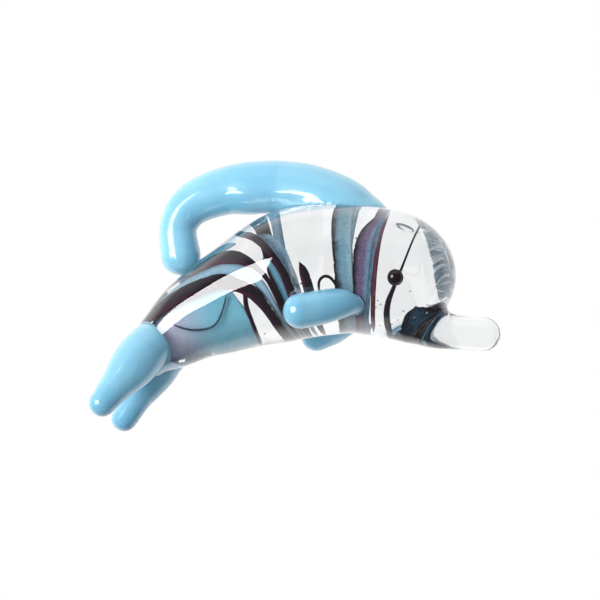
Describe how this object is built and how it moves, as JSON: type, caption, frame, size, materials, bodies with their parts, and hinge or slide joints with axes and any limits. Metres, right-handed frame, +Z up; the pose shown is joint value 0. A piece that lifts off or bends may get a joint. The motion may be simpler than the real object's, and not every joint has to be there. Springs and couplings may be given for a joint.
{
  "type": "glass dolphin figurine",
  "caption": "Small arched dolphin of clear solid glass with coloured ribbons inside, opaque blue fins, a hooked dorsal fin and dot eyes; stands on its tail flukes and beak.",
  "frame": {"origin": "bottom centre of the whole figurine's box, on the shelf it stands on", "axes": "+X from the tail to the beak, +Y to the dolphin's left, +Z up"},
  "size_m": [0.066, 0.0251, 0.0381],
  "materials": {
    "clear_glass": "clear, fire polished, with a few seeds",
    "sky_blue_glass": "opaque sky blue glass, fire polished; gloss_plastic stands in for opaque glass",
    "aubergine_glass": "near-black purple glass, glossy",
    "pale_blue_glass": "pale blue glass ribbon inside the clear body",
    "teal_blue_glass": "teal blue glass ribbon inside the clear body",
    "red_glass": "dark red-purple glass thread inside the clear body",
    "navy_glass": "mottled navy glass patch inside the chin"
  },
  "bodies": {
    "root": {"body": "clear_glass", "beak": "clear_glass", "dorsal_fin": "sky_blue_glass", "flipper_right": "sky_blue_glass", "flipper_left": "sky_blue_glass", "fluke_right": "sky_blue_glass", "fluke_left": "sky_blue_glass", "eye_right": "aubergine_glass", "eye_left": "aubergine_glass", "ribbon_aubergine_low": "aubergine_glass", "ribbon_aubergine_high": "aubergine_glass", "ribbon_aubergine_waist": "aubergine_glass", "ribbon_aubergine_fleck": "aubergine_glass", "ribbon_aubergine_curl": "aubergine_glass", "ribbon_tail_edge": "aubergine_glass", "ribbon_tail_thread": "aubergine_glass", "ribbon_head_band": "aubergine_glass", "ribbon_head_red_thread": "red_glass", "ribbon_head_line": "aubergine_glass", "ribbon_pale_blue": "pale_blue_glass", "ribbon_blue_back": "teal_blue_glass", "ribbon_blue_side": "teal_blue_glass", "ribbon_blue_waist": "teal_blue_glass", "ribbon_blue_lens": "pale_blue_glass", "ribbon_blue_ring": "teal_blue_glass", "ribbon_chin": "navy_glass", "ribbon_tail_veil": "teal_blue_glass"}
  },
  "joints": []
}
